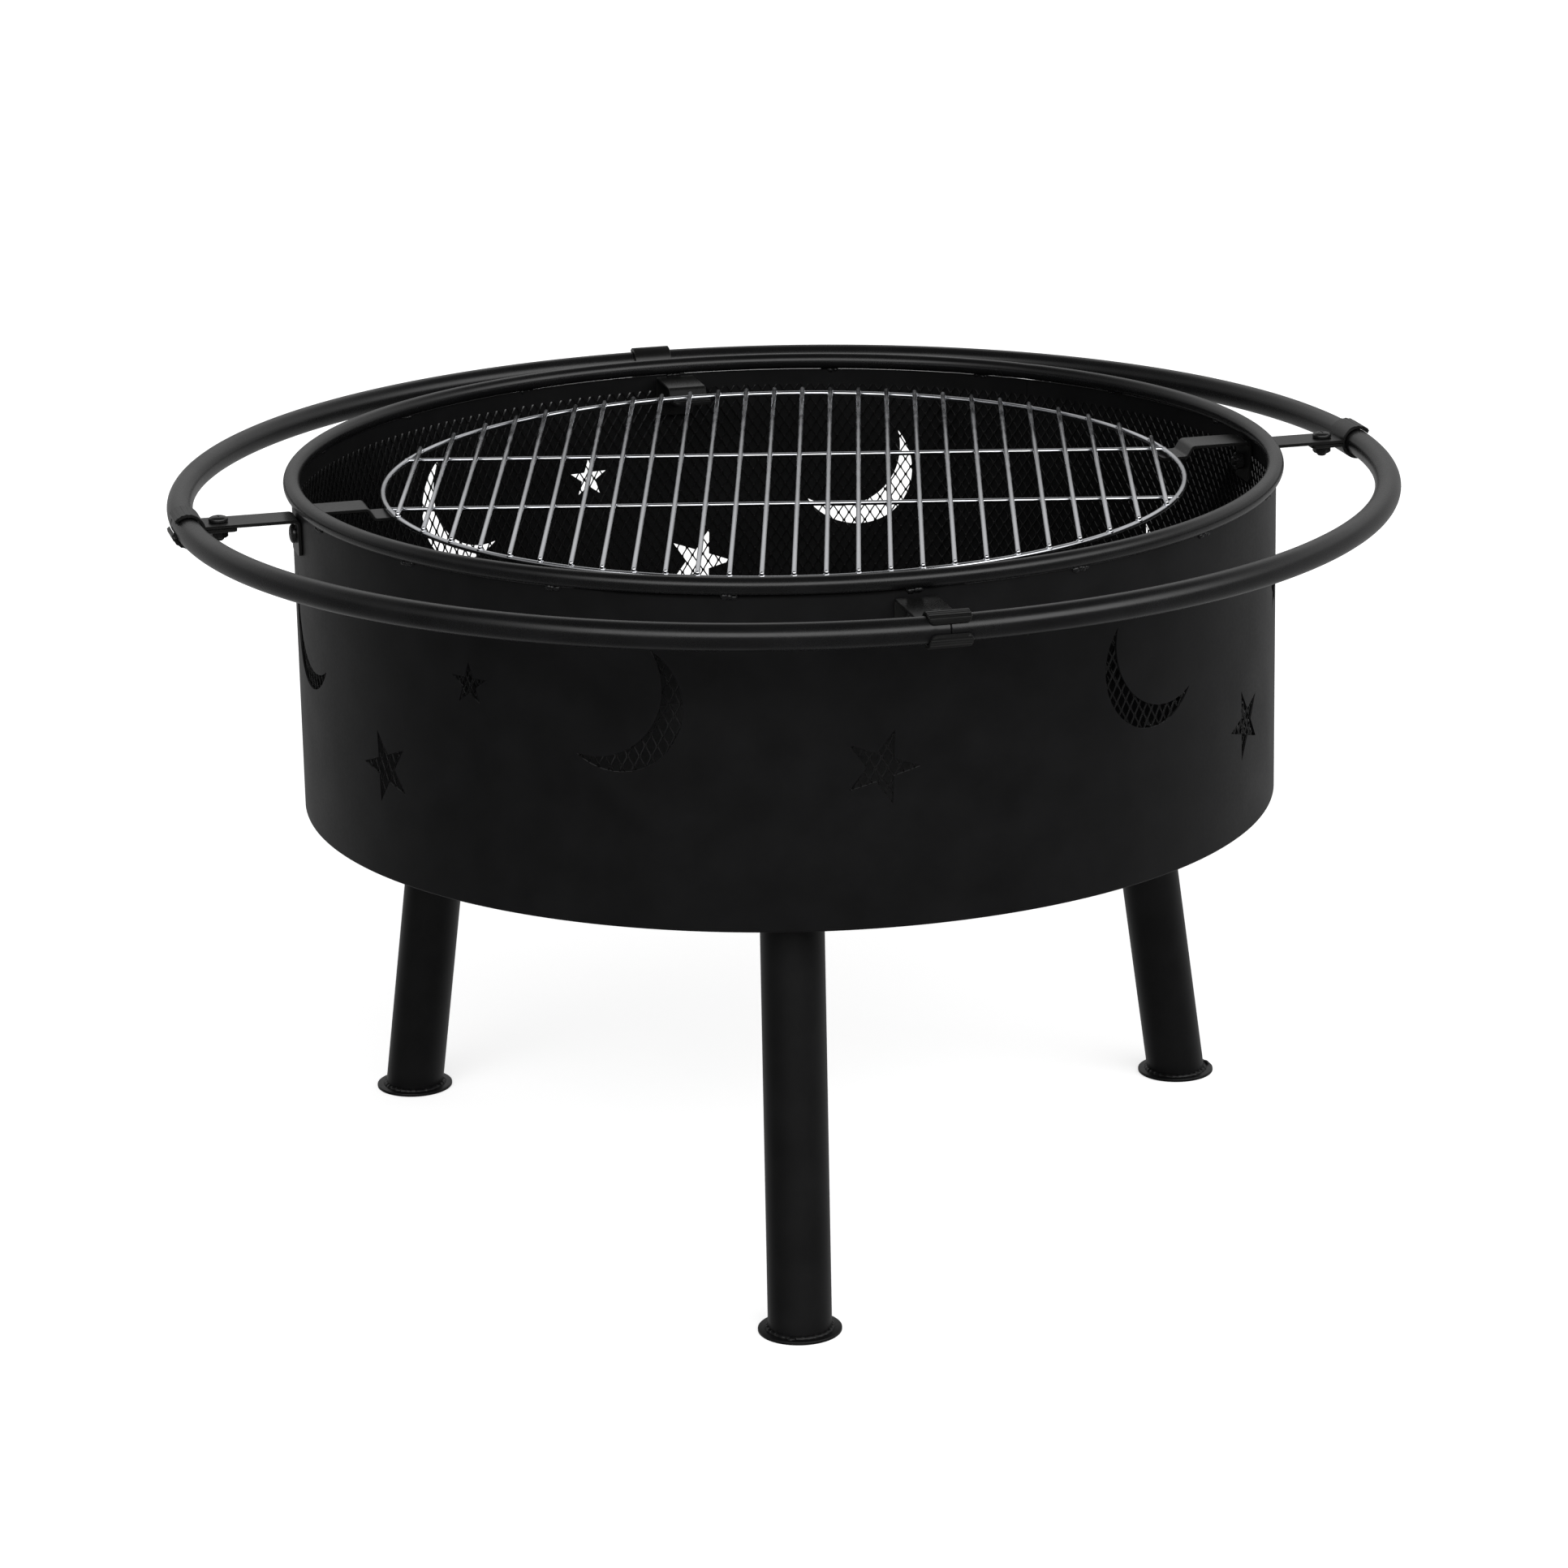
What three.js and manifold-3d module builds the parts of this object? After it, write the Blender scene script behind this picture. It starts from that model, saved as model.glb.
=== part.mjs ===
// Round outdoor fire pit: a drum with moon and star cut-outs and a mesh liner, a chromed cooking grate,
// a tubular handrail held by four clamp brackets, and three splayed legs.
// Millimetres, +Z up, the origin on the drum's axis at ground level. The front leg points along -Y.
import * as THREE from 'three';
import Module from 'manifold-3d';

const wasm = await Module();
wasm.setup();

// Driving dimensions.
const GAP = 0.3;                       // clearance between pieces that touch
const SHEET = 1;                       // drum wall thickness
const STRIP = 2;                       // thickness of bracket and clamp strip
const STRIP_WIDTH = 25;
const ROUND_STEPS = 72;                // facets around the drum, so a facet spans 5 degrees

const DRUM_R = 304.5;
const DRUM_BOTTOM = 250;
const DRUM_TOP = 451;
const DRUM_LIP = 8.5;                  // the wall's lower edge is turned in this far
const FLOOR_THICKNESS = 1.2;
const FLOOR_PRESS_R = [180, 184, 196, 200];   // a flat-topped ring pressed up to stiffen the floor
const FLOOR_PRESS_HEIGHT = 1.6;
const MESH_THICKNESS = 0.6;
const MESH_TOP = 441;

const BEAD_R = 304;                    // rolled rim rod, to its centreline
const BEAD_WIRE_R = 5.2;
const BEAD_Z = 456.5;
const BEAD_WELDS = 18;
const BEAD_WELD = [7, 8, 2];           // radial, along the rim, high

const RAIL_R = 373;                    // handrail ring, to its centreline
const RAIL_TUBE_R = 8;
const RAIL_TUBE_WALL = 1;
const RAIL_Z = 445;
const JAW_R = RAIL_TUBE_R + 0.6;       // inside of the two clamp jaws

const BRACKET_TURN = 13.9;             // the right bracket, degrees from +X towards +Y
const BRACKET_NAMES = ['right', 'back', 'left', 'front'];
const WALL_BOLT_Z = 436;
const TAB_BOTTOM = 424;                // lower end of the tabs on the wall
const CLAMP_BOLT_R = 353;
const STRAP_INNER_R = 343;             // inner end of the clamp strap
const JAW_END = 30;                    // degrees above level, where the upper jaw ends
const STRAP_END = -14;                 // and the clamp strap

const BOLT_R = 3;                      // M6
const HOLE_R = 3.3;
const HEAD_R = 6;
const HEAD_HEIGHT = 3.2;
const NUT_R = 5.77;                    // 10 mm across flats
const NUT_HEIGHT = 5;
const BOLT_SPARE = 2;                  // thread left showing past a nut

const GRATE_R = 248.3;                 // outer wire of the grate, to its centreline
const GRATE_WIRE_R = 1.75;
const GRATE_ROD_R = 1.5;
const GRATE_RODS = 26;
const GRATE_PITCH = 18.6;
const GRATE_BAR_Y = 66;
const GRATE_TURN = -1;                 // it lies loose in its seat, a little turned, in degrees
const WELD_BITE = 0.4;                 // how far welded wires sink into each other
const SEAT_Z = 444.3;                  // top of the lips that carry the grate
const SEAT_STRIP_Z = 450.6;            // top of the supports' level part
const SEAT_STEP_R = [266, 256];        // the step down from the level part to the lip
const SEAT_LIP_R = 243;                // inner end of the lips

const LEG_NAMES = ['front', 'right', 'left'];
const LEG_TURNS = [-90, 30, 150];      // degrees from +X
const LEG_TUBE_R = 19.05;
const LEG_TUBE_WALL = 1.5;
const LEG_TOP_R = 258;                 // leg centre at its top, from the drum's axis
const LEG_SPLAY = 8.5;                 // degrees from upright
const LEG_PLATE = [52, 66, 3];         // radial, tangential, thick
const LEG_BOLT_Y = 26;
const FOOT_R = 25;
const FOOT_THICKNESS = 2;

// Cut-outs, in the flat pattern of the wall: degrees from -Y towards +X, height, size and turn in degrees.
const MOTIF_PERIOD = 117;
const MOTIF_SETS = [-2, -1, 0];
const STAR_WAIST = 0.382;              // inner radius of a five-pointed star, over its outer radius
const MOON_R = 40;
const MOON_BITE_R = 43.15;
const MOON_BITE_SHIFT = 19;
const CUTTER_DEPTH = 30;
const MOTIFS = [
  { shape: 'moon', at: 44.9, z: 384, turn: 53 },
  { shape: 'star', at: 65.2, z: 320, size: 23.3, turn: 110 },
  { shape: 'star', at: 79.6, z: 385, size: 13.7, turn: 90 },
  { shape: 'moon', at: 98.1, z: 384, turn: 144 },
  { shape: 'star', at: 127, z: 347, size: 23.3, turn: 70 },
];

const RAD = Math.PI / 180;
const wallInside = DRUM_R - SHEET;
const meshOutside = wallInside - 0.4;
const meshInside = meshOutside - MESH_THICKNESS;
const facetScale = Math.cos(Math.PI / ROUND_STEPS);   // a facet's middle, over its corners
const floorBottom = DRUM_BOTTOM + SHEET + GAP;
const floorTop = floorBottom + FLOOR_THICKNESS;
const grateZ = SEAT_Z + GAP + GRATE_WIRE_R;

const root = new THREE.Group();

// Materials.
const blackPaint = (roughness) => new THREE.MeshStandardMaterial({
  color: 0x161616, roughness, metalness: 0.3,
});
const drumPaint = blackPaint(0.45);
const railPaint = blackPaint(0.35);
const bracketPaint = blackPaint(0.5);
const legPaint = blackPaint(0.4);
const meshPaint = blackPaint(0.6);
const hardware = new THREE.MeshStandardMaterial({ color: 0x202020, roughness: 0.4, metalness: 0.8 });
const chrome = new THREE.MeshStandardMaterial({ color: 0xd8d8da, roughness: 0.15, metalness: 1 });

function addPiece(name, geometry, material, turn = 0) {
  const piece = new THREE.Mesh(geometry, material.clone());
  piece.name = name;
  piece.rotation.z = turn * RAD;
  root.add(piece);
}

// A profile of [radius, z] points turned around Z. One facet faces each bracket.
function turned(profile, steps = ROUND_STEPS) {
  const points = profile.map(([r, z]) => new THREE.Vector2(r, z));
  const halfFacet = Math.PI / steps;
  const start = BRACKET_TURN * RAD + (steps === ROUND_STEPS ? halfFacet : 0);
  return new THREE.LatheGeometry(points, steps, start).rotateX(Math.PI / 2);
}

function circlePoints(count, radius, centreX = 0, centreY = 0, from = 0, to = 360) {
  const closed = Math.abs(to - from) === 360;
  const steps = closed ? count : count - 1;
  return Array.from({ length: count }, (_, i) => {
    const angle = (from + (to - from) * i / steps) * RAD;
    return [centreX + radius * Math.cos(angle), centreY + radius * Math.sin(angle)];
  });
}

function shapeOf(points, holes = []) {
  const shape = new THREE.Shape(points.map(([x, y]) => new THREE.Vector2(x, y)));
  for (const hole of holes) {
    shape.holes.push(new THREE.Path(hole.map(([x, y]) => new THREE.Vector2(x, y))));
  }
  return shape;
}

// An outline in the (outward, up) plane, made as wide as given across the outward direction.
function across(points, width) {
  return new THREE.ExtrudeGeometry(shapeOf(points), { depth: width, bevelEnabled: false })
    .translate(0, 0, -width / 2)
    .rotateX(Math.PI / 2);
}

// The outline of a bent strip, from the points of its middle line.
function stripOutline(path, thickness) {
  const sides = [[], []];
  path.forEach(([x, y], i) => {
    const before = path[Math.max(i - 1, 0)];
    const after = path[Math.min(i + 1, path.length - 1)];
    const inDir = new THREE.Vector2(x - before[0], y - before[1]).normalize();
    const outDir = new THREE.Vector2(after[0] - x, after[1] - y).normalize();
    if (i === 0) inDir.copy(outDir);
    if (i === path.length - 1) outDir.copy(inDir);
    const normal = new THREE.Vector2(-inDir.y - outDir.y, inDir.x + outDir.x).normalize();
    const reach = thickness / 2 / (normal.x * -inDir.y + normal.y * inDir.x);
    sides[0].push([x + normal.x * reach, y + normal.y * reach]);
    sides[1].unshift([x - normal.x * reach, y - normal.y * reach]);
  });
  return [...sides[0], ...sides[1]].reverse();
}

// Booleans.
function solid(geometry) {
  const flat = geometry.index ? geometry.toNonIndexed() : geometry;
  const corners = flat.getAttribute('position').array;
  const mesh = new wasm.Mesh({
    numProp: 3,
    vertProperties: new Float32Array(corners),
    triVerts: Uint32Array.from({ length: corners.length / 3 }, (_, i) => i),
  });
  mesh.merge();
  return new wasm.Manifold(mesh);
}

function geometryOf(body) {
  const { numProp, vertProperties, triVerts } = body.getMesh();
  const corners = new Float32Array(triVerts.length * 3);
  triVerts.forEach((v, i) => corners.set(vertProperties.subarray(v * numProp, v * numProp + 3), i * 3));
  const geometry = new THREE.BufferGeometry();
  geometry.setAttribute('position', new THREE.BufferAttribute(corners, 3));
  geometry.computeVertexNormals();
  return geometry;
}

const minus = (geometry, cutters) =>
  geometryOf(cutters.reduce((body, cutter) => body.subtract(solid(cutter)), solid(geometry)));

// Drills, in a bracket's own axes: x outwards, y along the rim, z up.
const radialDrill = (z, from, to) =>
  new THREE.CylinderGeometry(HOLE_R, HOLE_R, to - from, 12)
    .rotateZ(Math.PI / 2)
    .translate((from + to) / 2, 0, z);
const uprightDrill = (x, y, from, to) =>
  new THREE.CylinderGeometry(HOLE_R, HOLE_R, to - from, 12)
    .rotateX(Math.PI / 2)
    .translate(x, y, (from + to) / 2);

const bracketTurns = BRACKET_NAMES.map((_, i) => BRACKET_TURN + 90 * i);
const wallBoltDrills = () => bracketTurns.map((turn) =>
  radialDrill(WALL_BOLT_Z, DRUM_R - 15, DRUM_R + 15).rotateZ(turn * RAD));

// Cut-out outlines, seen from outside the drum.
function starOutline(size, turn) {
  return Array.from({ length: 10 }, (_, i) => {
    const reach = i % 2 ? size * STAR_WAIST : size;
    const angle = (turn + 36 * i) * RAD;
    return [reach * Math.cos(angle), reach * Math.sin(angle)];
  });
}

function moonOutline(turn) {
  const along = (MOON_R ** 2 - MOON_BITE_R ** 2 + MOON_BITE_SHIFT ** 2) / (2 * MOON_BITE_SHIFT);
  const halfChord = Math.sqrt(MOON_R ** 2 - along ** 2);
  const tip = Math.atan2(halfChord, along) / RAD;
  const biteTip = Math.atan2(halfChord, along - MOON_BITE_SHIFT) / RAD;
  const outer = circlePoints(15, MOON_R, 0, 0, tip, 360 - tip);
  const bite = circlePoints(13, MOON_BITE_R, MOON_BITE_SHIFT, 0, 360 - biteTip, biteTip);
  const spin = new THREE.Matrix3().makeRotation(turn * RAD);
  const corners = [...outer, ...bite.slice(1, -1)];
  return corners.map(([x, y]) => new THREE.Vector2(x, y).applyMatrix3(spin).toArray());
}

function cutter(motif, set) {
  const outline = motif.shape === 'moon' ? moonOutline(motif.turn) : starOutline(motif.size, motif.turn);
  return new THREE.ExtrudeGeometry(shapeOf(outline), { depth: CUTTER_DEPTH, bevelEnabled: false })
    .rotateX(Math.PI / 2)
    .translate(0, -DRUM_R + CUTTER_DEPTH * 2 / 3, motif.z)
    .rotateZ((motif.at + MOTIF_PERIOD * set) * RAD);
}

// Drum.
const wallProfile = [
  [DRUM_R - DRUM_LIP, DRUM_BOTTOM],
  [DRUM_R, DRUM_BOTTOM],
  [DRUM_R, DRUM_TOP],
  [wallInside, DRUM_TOP],
  [wallInside, DRUM_BOTTOM + SHEET],
  [DRUM_R - DRUM_LIP, DRUM_BOTTOM + SHEET],
  [DRUM_R - DRUM_LIP, DRUM_BOTTOM],
];
const motifCutters = MOTIF_SETS.flatMap((set) => MOTIFS.map((motif) => cutter(motif, set)));
addPiece('drum_wall', minus(turned(wallProfile), [...motifCutters, ...wallBoltDrills()]), drumPaint);

const floorR = wallInside - 0.5;
const pressed = FLOOR_PRESS_R.map((r, i) => [r, i === 1 || i === 2 ? FLOOR_PRESS_HEIGHT : 0]);
const floorLine = [[0, 0], ...pressed, [floorR, 0]];
const floorProfile = [
  ...floorLine.map(([r, lift]) => [r, floorBottom + lift]),
  ...floorLine.map(([r, lift]) => [r, floorTop + lift]).reverse(),
];
const legBoltDrills = LEG_TURNS.flatMap((turn) => [-1, 1].map((side) =>
  uprightDrill(LEG_TOP_R, side * LEG_BOLT_Y, floorBottom - 5, floorTop + 5).rotateZ(turn * RAD)));
addPiece('drum_floor', minus(turned(floorProfile), legBoltDrills), drumPaint);

const meshProfile = [
  [meshInside, floorTop + GAP],
  [meshOutside, floorTop + GAP],
  [meshOutside, MESH_TOP],
  [meshInside, MESH_TOP],
  [meshInside, floorTop + GAP],
];
addPiece('mesh_liner', minus(turned(meshProfile), wallBoltDrills()), meshPaint);

// Rolled rim rod, with the short welds that hold it above the wall's top edge.
const beadProfile = circlePoints(12, BEAD_WIRE_R, BEAD_R, BEAD_Z);
let bead = solid(turned([...beadProfile, beadProfile[0]]));
const weldFoot = DRUM_TOP + GAP;
for (let i = 0; i < BEAD_WELDS; i += 1) {
  const weld = new THREE.BoxGeometry(...BEAD_WELD)
    .translate(BEAD_R, 0, weldFoot + BEAD_WELD[2] / 2)
    .rotateZ((BRACKET_TURN + (i + 0.5) * 360 / BEAD_WELDS) * RAD);
  bead = bead.add(solid(weld));
}
addPiece('rim_bead', geometryOf(bead), railPaint);

// Cooking grate: an outer wire, two cross bars under the rods, and parallel rods welded on top.
function wireBetween(a, b, radius) {
  const length = a.distanceTo(b);
  const wire = new THREE.CylinderGeometry(radius, radius, length, 6).rotateY(Math.PI / 6);
  const way = b.clone().sub(a).normalize();
  wire.applyQuaternion(new THREE.Quaternion().setFromUnitVectors(new THREE.Vector3(0, 1, 0), way));
  return wire.translate((a.x + b.x) / 2, (a.y + b.y) / 2, (a.z + b.z) / 2);
}

const grateProfile = circlePoints(8, GRATE_WIRE_R, GRATE_R, grateZ);
let grate = solid(turned([...grateProfile, grateProfile[0]]));
const barEnd = Math.sqrt(GRATE_R ** 2 - GRATE_BAR_Y ** 2);
const barZ = grateZ + GRATE_WIRE_R - GRATE_ROD_R;
for (const y of [-GRATE_BAR_Y, GRATE_BAR_Y]) {
  const start = new THREE.Vector3(-barEnd, y, barZ);
  const bar = wireBetween(start, start.clone().setX(barEnd), GRATE_ROD_R);
  grate = grate.add(solid(bar));
}
const rodZ = grateZ + GRATE_WIRE_R + GRATE_ROD_R - WELD_BITE;
for (let i = 0; i < GRATE_RODS; i += 1) {
  const x = (i - (GRATE_RODS - 1) / 2) * GRATE_PITCH;
  const y = Math.sqrt((GRATE_R + GRATE_WIRE_R / 2) ** 2 - x ** 2);
  const rod = wireBetween(new THREE.Vector3(x, -y, rodZ), new THREE.Vector3(x, y, rodZ), GRATE_ROD_R);
  grate = grate.add(solid(rod));
}
addPiece('cooking_grate', geometryOf(grate), chrome, GRATE_TURN);

// Handrail: four arcs of tube, each from the middle of one clamp to the middle of the next.
class RailArc extends THREE.Curve {
  getPoint(t, target = new THREE.Vector3()) {
    const cut = GAP / 2 / RAIL_R;
    const angle = cut + t * (Math.PI / 2 - 2 * cut);
    return target.set(RAIL_R * Math.cos(angle), RAIL_R * Math.sin(angle), RAIL_Z);
  }
}
const railBore = circlePoints(8, RAIL_TUBE_R - RAIL_TUBE_WALL).reverse();
const railWall = shapeOf(circlePoints(12, RAIL_TUBE_R), [railBore]);
const railSection = new THREE.ExtrudeGeometry(railWall, {
  steps: 18, extrudePath: new RailArc(), bevelEnabled: false,
});
const RAIL_NAMES = ['right_back', 'back_left', 'left_front', 'front_right'];
RAIL_NAMES.forEach((name, i) => addPiece(`handrail_${name}`, railSection, railPaint, bracketTurns[i]));

// Bracket: a tab bolted to the wall, an arm out to the handrail, and a jaw curled over the tube.
const jawLine = JAW_R + STRIP / 2;
const tabLine = DRUM_R * facetScale + GAP + STRIP / 2;
const armLineZ = RAIL_Z + STRIP / 2;
const jawMeets = (z) => Math.asin((z - RAIL_Z) / jawLine) / RAD;
const armPath = [
  [tabLine, TAB_BOTTOM],
  [tabLine, armLineZ],
  ...circlePoints(9, jawLine, RAIL_R, RAIL_Z, 180 - jawMeets(armLineZ), JAW_END),
];
const arm = minus(across(stripOutline(armPath, STRIP), STRIP_WIDTH), [
  radialDrill(WALL_BOLT_Z, tabLine - 5, tabLine + 5),
  uprightDrill(CLAMP_BOLT_R, 0, armLineZ - 5, armLineZ + 5),
]);

// Clamp strap: bolted under the arm and curled round the tube's underside.
const strapLineZ = RAIL_Z - GAP - STRIP / 2;
const strapPath = [
  [STRAP_INNER_R, strapLineZ],
  ...circlePoints(9, jawLine, RAIL_R, RAIL_Z, 180 - jawMeets(strapLineZ), 360 + STRAP_END),
];
const strap = minus(across(stripOutline(strapPath, STRIP), STRIP_WIDTH), [
  uprightDrill(CLAMP_BOLT_R, 0, strapLineZ - 5, strapLineZ + 5),
]);

// Grate support: a tab on the inside of the wall, a level strip inwards, a step down and a lip.
const supportTabLine = meshInside * facetScale - GAP - STRIP / 2;
const supportPath = [
  [supportTabLine, TAB_BOTTOM],
  [supportTabLine, SEAT_STRIP_Z - STRIP / 2],
  [SEAT_STEP_R[0], SEAT_STRIP_Z - STRIP / 2],
  [SEAT_STEP_R[1], SEAT_Z - STRIP / 2],
  [SEAT_LIP_R, SEAT_Z - STRIP / 2],
];
const support = minus(across(stripOutline(supportPath, STRIP), STRIP_WIDTH), [
  radialDrill(WALL_BOLT_Z, supportTabLine - 5, supportTabLine + 5),
]);

// Fasteners, made along +Z with the underside of the head at z = 0 and the shank below it.
function panBolt(length) {
  return new THREE.LatheGeometry([
    [0, -length],
    [BOLT_R - 0.5, -length],
    [BOLT_R, -length + 0.5],
    [BOLT_R, 0],
    [HEAD_R, 0],
    [HEAD_R, HEAD_HEIGHT * 0.4],
    [HEAD_R * 0.75, HEAD_HEIGHT * 0.85],
    [0, HEAD_HEIGHT],
  ].map(([r, z]) => new THREE.Vector2(r, z)), 12).rotateX(Math.PI / 2);
}

function hexNut() {
  return new THREE.ExtrudeGeometry(shapeOf(circlePoints(6, NUT_R), [circlePoints(12, HOLE_R).reverse()]), {
    depth: NUT_HEIGHT, bevelEnabled: false,
  });
}

const boltFace = tabLine + STRIP / 2 + GAP;
const nutFace = supportTabLine - STRIP / 2 - GAP;
const wallBolt = panBolt(boltFace - nutFace + NUT_HEIGHT + BOLT_SPARE)
  .rotateY(Math.PI / 2)
  .translate(boltFace, 0, WALL_BOLT_Z);
const wallNut = hexNut().rotateY(-Math.PI / 2).translate(nutFace, 0, WALL_BOLT_Z);
const clampFace = armLineZ + STRIP / 2 + GAP;
const clampNutTop = strapLineZ - STRIP / 2 - GAP;
const clampBolt = panBolt(clampFace - clampNutTop + NUT_HEIGHT + BOLT_SPARE)
  .translate(CLAMP_BOLT_R, 0, clampFace);
const clampNut = hexNut().translate(CLAMP_BOLT_R, 0, clampNutTop - NUT_HEIGHT);

BRACKET_NAMES.forEach((name, i) => {
  addPiece(`handrail_arm_${name}`, arm, bracketPaint, bracketTurns[i]);
  addPiece(`clamp_strap_${name}`, strap, bracketPaint, bracketTurns[i]);
  addPiece(`grate_support_${name}`, support, bracketPaint, bracketTurns[i]);
  addPiece(`wall_bolt_${name}`, wallBolt, hardware, bracketTurns[i]);
  addPiece(`wall_nut_${name}`, wallNut, hardware, bracketTurns[i]);
  addPiece(`clamp_bolt_${name}`, clampBolt, hardware, bracketTurns[i]);
  addPiece(`clamp_nut_${name}`, clampNut, hardware, bracketTurns[i]);
});

// Legs, made along +X: a plate bolted under the floor, a splayed tube cut level at both ends, a foot disc.
const [plateDepth, plateWidth, plateThickness] = LEG_PLATE;
const plateTop = floorBottom - GAP;
const plateBottom = plateTop - plateThickness;
const tubeTop = plateBottom - GAP;
const tubeBottom = FOOT_THICKNESS + GAP;
const splay = Math.tan(LEG_SPLAY * RAD);
const footCentre = LEG_TOP_R + (tubeTop - tubeBottom) * splay;

const legTube = new THREE.ExtrudeGeometry(
  shapeOf(circlePoints(20, LEG_TUBE_R), [circlePoints(20, LEG_TUBE_R - LEG_TUBE_WALL).reverse()]),
  { depth: tubeTop - tubeBottom, bevelEnabled: false },
);
legTube.applyMatrix4(new THREE.Matrix4().makeShear(0, 0, 0, 0, -splay, 0));
legTube.translate(footCentre, 0, tubeBottom);

const legPlate = minus(
  new THREE.BoxGeometry(plateDepth, plateWidth, plateThickness)
    .translate(LEG_TOP_R, 0, (plateTop + plateBottom) / 2),
  [-1, 1].map((side) => uprightDrill(LEG_TOP_R, side * LEG_BOLT_Y, plateBottom - 5, plateTop + 5)),
);
const footDisc = new THREE.CylinderGeometry(FOOT_R, FOOT_R, FOOT_THICKNESS, 32)
  .rotateX(Math.PI / 2)
  .translate(footCentre, 0, FOOT_THICKNESS / 2);
const legBoltFace = floorTop + GAP;
const legNutTop = plateBottom - GAP;
const legBolt = panBolt(legBoltFace - legNutTop + NUT_HEIGHT + BOLT_SPARE);

LEG_NAMES.forEach((name, i) => {
  addPiece(`leg_tube_${name}`, legTube, legPaint, LEG_TURNS[i]);
  addPiece(`leg_plate_${name}`, legPlate, legPaint, LEG_TURNS[i]);
  addPiece(`foot_disc_${name}`, footDisc, legPaint, LEG_TURNS[i]);
  [-1, 1].forEach((side, j) => {
    const bolt = legBolt.clone().translate(LEG_TOP_R, side * LEG_BOLT_Y, legBoltFace);
    const nut = hexNut().translate(LEG_TOP_R, side * LEG_BOLT_Y, legNutTop - NUT_HEIGHT);
    addPiece(`leg_bolt_${name}_${j + 1}`, bolt, hardware, LEG_TURNS[i]);
    addPiece(`leg_nut_${name}_${j + 1}`, nut, hardware, LEG_TURNS[i]);
  });
});

export default root;
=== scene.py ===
"""Looks of a round outdoor fire pit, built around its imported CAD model.

The drum wall is cut sheet with a turned-in hem, the liner is open expanded mesh, the rim rod is spot-welded
on, and the handrail, brackets, legs, fasteners and chromed grate are remade as fine smooth metalwork.
Shapes are worked out in millimetres and scaled to metres as each piece is made.
"""

import math
import random

import bmesh
import bpy
import numpy as np
from mathutils import Matrix, Vector
from mathutils.geometry import delaunay_2d_cdt


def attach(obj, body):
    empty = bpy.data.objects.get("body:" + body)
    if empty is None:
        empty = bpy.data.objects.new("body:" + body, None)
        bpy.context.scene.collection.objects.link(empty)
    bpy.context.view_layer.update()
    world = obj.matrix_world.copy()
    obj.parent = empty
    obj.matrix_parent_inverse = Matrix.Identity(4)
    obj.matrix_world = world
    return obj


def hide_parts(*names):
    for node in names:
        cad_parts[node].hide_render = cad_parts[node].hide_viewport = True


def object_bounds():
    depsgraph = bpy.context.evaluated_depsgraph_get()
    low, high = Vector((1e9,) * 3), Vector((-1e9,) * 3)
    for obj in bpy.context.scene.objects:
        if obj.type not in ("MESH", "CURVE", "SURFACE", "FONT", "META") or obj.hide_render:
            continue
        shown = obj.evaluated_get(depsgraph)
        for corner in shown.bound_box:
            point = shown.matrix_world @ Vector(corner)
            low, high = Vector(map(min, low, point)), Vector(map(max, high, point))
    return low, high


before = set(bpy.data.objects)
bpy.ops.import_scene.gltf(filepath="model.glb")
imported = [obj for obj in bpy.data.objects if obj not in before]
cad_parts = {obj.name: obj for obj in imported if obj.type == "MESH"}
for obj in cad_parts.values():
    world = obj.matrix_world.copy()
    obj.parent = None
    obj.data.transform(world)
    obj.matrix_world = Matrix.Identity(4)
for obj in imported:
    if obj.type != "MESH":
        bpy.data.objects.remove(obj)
cad_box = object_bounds()

MM = 0.001
PIT = "fire_pit"
GRATE = "grate"


# ---------------------------------------------------------------- sizes read from the frame

def corners(node, turn=0):
    """A CAD node's vertices in mm, turned back round the drum's axis by so many degrees."""
    points = np.array([v.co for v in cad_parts[node].data.vertices], float) / MM
    return turned(points, -turn)


def turned(points, degrees):
    """Points turned round the drum's axis."""
    points = np.asarray(points, float)
    c, s = math.cos(math.radians(degrees)), math.sin(math.radians(degrees))
    x, y, z = points[..., 0], points[..., 1], points[..., 2]
    return np.stack([c * x - s * y, s * x + c * y, z], axis=-1)


def box(node, turn=0):
    """The least and greatest corner of a CAD node in mm, turned back by so many degrees."""
    points = corners(node, turn)
    return points.min(0), points.max(0)


def reach(node):
    """A CAD node's least and greatest distance from the drum's axis."""
    distance = np.hypot(*corners(node)[:, :2].T)
    return distance.min(), distance.max()


def turn_of(node):
    """Where a CAD node stands round the axis, in degrees from +X."""
    middle = corners(node).mean(0)
    return math.degrees(math.atan2(middle[1], middle[0]))


SHEET = 1                                  # wall thickness
WALL_BOTTOM, WALL_TOP = box("drum_wall")[0][2], box("drum_wall")[1][2]
LIP_R, WALL_R = reach("drum_wall")
FLOOR_BOTTOM = box("drum_floor")[0][2]
FLOOR_THICKNESS = 1.2
FLOOR_R = reach("drum_floor")[1]
LINER_BOTTOM, LINER_TOP = box("mesh_liner")[0][2], box("mesh_liner")[1][2]
LINER_R = sum(reach("mesh_liner")) / 2
BEAD_R = sum(reach("rim_bead")) / 2
BEAD_WIRE_R = (reach("rim_bead")[1] - reach("rim_bead")[0]) / 2
BEAD_Z = box("rim_bead")[1][2] - BEAD_WIRE_R
RAIL_TUBE_R = (reach("handrail_right_back")[1] - reach("handrail_right_back")[0]) / 2
RAIL_R = cad_box[1].x / MM - RAIL_TUBE_R
RAIL_Z = box("handrail_right_back")[1][2] - RAIL_TUBE_R

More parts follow.
